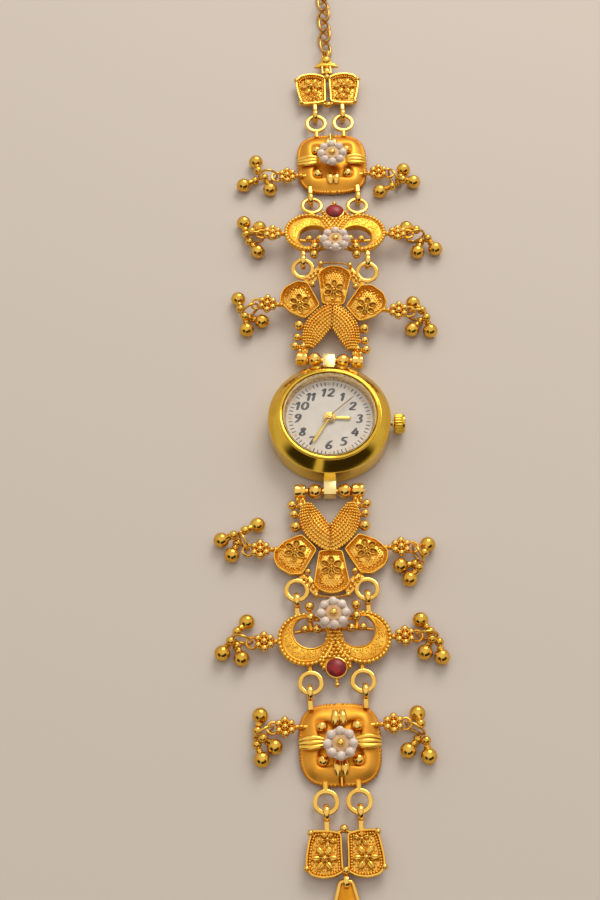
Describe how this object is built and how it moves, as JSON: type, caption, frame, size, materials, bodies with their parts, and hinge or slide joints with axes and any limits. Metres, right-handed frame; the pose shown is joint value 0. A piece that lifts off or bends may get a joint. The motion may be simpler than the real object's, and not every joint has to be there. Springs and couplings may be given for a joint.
{
  "type": "bracelet watch",
  "caption": "Lady's wrist watch: round drum case with crown on a bracelet of cast fan, crescent and domed square links with pearl flowers and hanging bells, hook and chain.",
  "frame": {"origin": "centre of the flat case back, which lies on the table", "axes": "+X towards the crown at three o'clock, +Y towards twelve o'clock along the bracelet, +Z out of the dial"},
  "size_m": [0.0464, 0.2161, 0.0082],
  "materials": {
    "gold_polished": "polished, gilded",
    "gold_cast": "cast granulation, gilded",
    "gold_satin": "satin, gilded",
    "gold_antique": "polished, darkened gilding",
    "clear_glass": "polished, clear",
    "dial_paint": "white lacquer",
    "bright_steel": "turned, bright",
    "train_brass": "stamped, bright",
    "coil_copper": "lacquered copper wire",
    "seal_rubber": "moulded",
    "pearl": "pearl lustre",
    "red_stone": "cut and polished"
  },
  "bodies": {
    "case": {"case_middle": "gold_polished", "bezel": "gold_polished", "case_back": "gold_polished", "back_gasket": "seal_rubber", "crystal": "clear_glass", "crystal_gasket": "seal_rubber", "rehaut_ring": "gold_polished", "dial": "dial_paint", "movement_plate": "train_brass", "battery_cell": "bright_steel", "drive_coil": "coil_copper", "upper_strap": "gold_polished", "lower_strap": "gold_polished", "upper_cross_pin": "gold_polished", "lower_cross_pin": "gold_polished"},
    "lever": {"setting_lever": "bright_steel"},
    "winder": {"crown": "gold_polished", "stem": "bright_steel"},
    "hours": {"hour_hand": "gold_polished", "hour_wheel": "train_brass"},
    "minutes": {"minute_hand": "gold_polished", "centre_wheel": "train_brass"},
    "seconds": {"second_hand": "gold_polished", "seconds_wheel": "train_brass"},
    "upper_fan": {"upper_fan_link": "gold_cast"},
    "upper_beads": {"upper_pin_beads": "gold_polished"},
    "upper_fan_bells_right": {"upper_fan_bells_right": "gold_antique"},
    "upper_fan_bells_left": {"upper_fan_bells_left": "gold_antique"},
    "upper_crescent": {"upper_crescent_link": "gold_cast", "upper_crescent_pearls": "pearl", "upper_ruby": "red_stone"},
    "upper_crescent_bells_right": {"upper_crescent_bells_right": "gold_antique"},
    "upper_crescent_bells_left": {"upper_crescent_bells_left": "gold_antique"},
    "upper_square": {"upper_square_link": "gold_satin", "upper_square_pearls": "pearl"},
    "upper_square_bells_right": {"upper_square_bells_right": "gold_antique"},
    "upper_square_bells_left": {"upper_square_bells_left": "gold_antique"},
    "upper_end": {"upper_end_plate": "gold_cast"},
    "lower_fan": {"lower_fan_link": "gold_cast"},
    "lower_beads": {"lower_pin_beads": "gold_polished"},
    "lower_fan_bells_left": {"lower_fan_bells_left": "gold_antique"},
    "lower_fan_bells_right": {"lower_fan_bells_right": "gold_antique"},
    "lower_crescent": {"lower_crescent_link": "gold_cast", "lower_crescent_pearls": "pearl", "lower_ruby": "red_stone"},
    "lower_crescent_bells_left": {"lower_crescent_bells_left": "gold_antique"},
    "lower_crescent_bells_right": {"lower_crescent_bells_right": "gold_antique"},
    "lower_square": {"lower_square_link": "gold_satin", "lower_square_pearls": "pearl"},
    "lower_square_bells_left": {"lower_square_bells_left": "gold_antique"},
    "lower_square_bells_right": {"lower_square_bells_right": "gold_antique"},
    "lower_end": {"lower_end_plate": "gold_cast"},
    "hook": {"clasp_hook": "gold_polished"},
    "bail": {"chain_bail": "gold_polished"},
    "ring_1": {"chain_ring_1": "gold_antique"},
    "ring_2": {"chain_ring_2": "gold_antique"},
    "ring_3": {"chain_ring_3": "gold_antique"},
    "ring_4": {"chain_ring_4": "gold_antique"},
    "ring_5": {"chain_ring_5": "gold_antique"},
    "ring_6": {"chain_ring_6": "gold_antique"}
  },
  "joints": [
    {"name": "crown_pull", "type": "slide", "parent": "case", "child": "lever", "axis": [1, 0, 0], "range_m": [0, 0.001]},
    {"name": "crown_turn", "type": "hinge", "parent": "lever", "child": "winder", "pos_m": [0.0075, 0, 0.0026], "axis": [1, 0, 0], "continuous": true},
    {"name": "minute_turn", "type": "hinge", "parent": "case", "child": "minutes", "pos_m": [0, 0, 0.0046], "axis": [0, 0, -1], "continuous": true},
    {"name": "hour_turn", "type": "hinge", "parent": "case", "child": "hours", "pos_m": [0, 0, 0.0046], "axis": [0, 0, -1], "continuous": true},
    {"name": "second_turn", "type": "hinge", "parent": "case", "child": "seconds", "pos_m": [0, 0, 0.0046], "axis": [0, 0, -1], "continuous": true},
    {"name": "upper_fan_swing", "type": "hinge", "parent": "case", "child": "upper_fan", "pos_m": [0, 0.0146, 0.0022], "axis": [-0.9982, 0.0593, 0], "range_deg": [-17, 40]},
    {"name": "upper_beads_turn", "type": "hinge", "parent": "case", "child": "upper_beads", "pos_m": [0, 0.0146, 0.0022], "axis": [-0.9982, 0.0593, 0], "continuous": true},
    {"name": "upper_fan_bells_right_swing", "type": "hinge", "parent": "upper_fan", "child": "upper_fan_bells_right", "pos_m": [0.01648, 0.02552, 0.00325], "axis": [0, 1, 0], "range_deg": [-12, 3]},
    {"name": "upper_fan_bells_left_swing", "type": "hinge", "parent": "upper_fan", "child": "upper_fan_bells_left", "pos_m": [-0.01467, 0.02737, 0.00325], "axis": [0.5, -0.866, 0], "range_deg": [-12, 3]},
    {"name": "upper_crescent_swing", "type": "hinge", "parent": "upper_fan", "child": "upper_crescent", "pos_m": [0.00152, 0.03673, 0.00464], "axis": [-1, 0, 0], "range_deg": [-30, 28]},
    {"name": "upper_crescent_bells_right_swing", "type": "hinge", "parent": "upper_crescent", "child": "upper_crescent_bells_right", "pos_m": [0.01676, 0.04453, 0.00334], "axis": [-0.2588, 0.9659, 0], "range_deg": [-12, 3]},
    {"name": "upper_crescent_bells_left_swing", "type": "hinge", "parent": "upper_crescent", "child": "upper_crescent_bells_left", "pos_m": [-0.01374, 0.04453, 0.00334], "axis": [0, -1, 0], "range_deg": [-12, 3]},
    {"name": "upper_square_swing", "type": "hinge", "parent": "upper_crescent", "child": "upper_square", "pos_m": [0.00152, 0.05468, 0.00164], "axis": [-0.999, -0.0436, 0], "range_deg": [-15, 40]},
    {"name": "upper_square_bells_right_swing", "type": "hinge", "parent": "upper_square", "child": "upper_square_bells_right", "pos_m": [0.01323, 0.0615, 0.00164], "axis": [0.866, 0.5, 0], "range_deg": [-12, 25]},
    {"name": "upper_square_bells_left_swing", "type": "hinge", "parent": "upper_square", "child": "upper_square_bells_left", "pos_m": [-0.01075, 0.06045, 0.00164], "axis": [0, -1, 0], "range_deg": [-12, 25]},
    {"name": "upper_end_swing", "type": "hinge", "parent": "upper_square", "child": "upper_end", "pos_m": [0.00055, 0.07686, 0.00164], "axis": [-0.9994, -0.0349, 0], "range_deg": [-25, 35]},
    {"name": "lower_fan_swing", "type": "hinge", "parent": "case", "child": "lower_fan", "pos_m": [0, -0.0146, 0.0022], "axis": [0.9998, 0.0209, 0], "range_deg": [-25, 40]},
    {"name": "lower_beads_turn", "type": "hinge", "parent": "case", "child": "lower_beads", "pos_m": [0, -0.0146, 0.0022], "axis": [0.9998, 0.0209, 0], "continuous": true},
    {"name": "lower_fan_bells_left_swing", "type": "hinge", "parent": "lower_fan", "child": "lower_fan_bells_left", "pos_m": [-0.01555, -0.02682, 0.00165], "axis": [-0.866, -0.5, 0], "range_deg": [-12, 25]},
    {"name": "lower_fan_bells_right_swing", "type": "hinge", "parent": "lower_fan", "child": "lower_fan_bells_right", "pos_m": [0.01565, -0.02617, 0.00165], "axis": [0.866, 0.5, 0], "range_deg": [-12, 25]},
    {"name": "lower_crescent_swing", "type": "hinge", "parent": "lower_fan", "child": "lower_crescent", "pos_m": [0.00027, -0.0369, 0.00165], "axis": [0.999, 0.0454, 0], "range_deg": [-15, 35]},
    {"name": "lower_crescent_bells_left_swing", "type": "hinge", "parent": "lower_crescent", "child": "lower_crescent_bells_left", "pos_m": [-0.01461, -0.04548, 0.00165], "axis": [-0.2588, -0.9659, 0], "range_deg": [-12, 25]},
    {"name": "lower_crescent_bells_right_swing", "type": "hinge", "parent": "lower_crescent", "child": "lower_crescent_bells_right", "pos_m": [0.01586, -0.0441, 0.00165], "axis": [0, 1, 0], "range_deg": [-12, 25]},
    {"name": "lower_square_swing", "type": "hinge", "parent": "lower_crescent", "child": "lower_square", "pos_m": [0.00109, -0.05508, 0.00165], "axis": [0.9994, 0.0349, 0], "range_deg": [-25, 35]},
    {"name": "lower_square_bells_left_swing", "type": "hinge", "parent": "lower_square", "child": "lower_square_bells_left", "pos_m": [-0.01068, -0.06179, 0.00165], "axis": [0.5, -0.866, 0], "range_deg": [-12, 25]},
    {"name": "lower_square_bells_right_swing", "type": "hinge", "parent": "lower_square", "child": "lower_square_bells_right", "pos_m": [0.01331, -0.06095, 0.00165], "axis": [0.5, 0.866, 0], "range_deg": [-12, 25]},
    {"name": "lower_end_swing", "type": "hinge", "parent": "lower_square", "child": "lower_end", "pos_m": [0.00187, -0.07726, 0.00165], "axis": [0.9996, 0.0279, 0], "range_deg": [-25, 35]},
    {"name": "hook_swing", "type": "hinge", "parent": "lower_end", "child": "hook", "pos_m": [0.0022, -0.08926, 0.00165], "axis": [0.9996, 0.0279, 0], "range_deg": [-35, 50]},
    {"name": "bail_swing", "type": "hinge", "parent": "upper_end", "child": "bail", "pos_m": [0.00013, 0.08886, 0.00164], "axis": [-0.9994, -0.0349, 0], "range_deg": [-30, 40]},
    {"name": "chain_swing_1", "type": "hinge", "parent": "bail", "child": "ring_1", "pos_m": [-0.00009, 0.09503, 0.00164], "axis": [-0.7067, -0.0247, -0.7071], "range_deg": [-28, 28]},
    {"name": "chain_swing_2", "type": "hinge", "parent": "ring_1", "child": "ring_2", "pos_m": [-0.0002, 0.09811, 0.00164], "axis": [-0.7067, -0.0247, 0.7071], "range_deg": [-28, 28]},
    {"name": "chain_swing_3", "type": "hinge", "parent": "ring_2", "child": "ring_3", "pos_m": [-0.0003, 0.10114, 0.00164], "axis": [0.7067, 0.0247, 0.7071], "range_deg": [-28, 28]},
    {"name": "chain_swing_4", "type": "hinge", "parent": "ring_3", "child": "ring_4", "pos_m": [-0.00041, 0.10417, 0.00164], "axis": [0.7067, 0.0247, -0.7071], "range_deg": [-28, 28]},
    {"name": "chain_swing_5", "type": "hinge", "parent": "ring_4", "child": "ring_5", "pos_m": [-0.00051, 0.10719, 0.00164], "axis": [-0.7067, -0.0247, -0.7071], "range_deg": [-28, 28]},
    {"name": "chain_swing_6", "type": "hinge", "parent": "ring_5", "child": "ring_6", "pos_m": [-0.00062, 0.11022, 0.00164], "axis": [-0.7067, -0.0247, 0.7071], "range_deg": [-28, 28]}
  ],
  "couplings": [
    {"joint": "hour_turn", "follows": "minute_turn", "ratio": 0.083333}
  ]
}
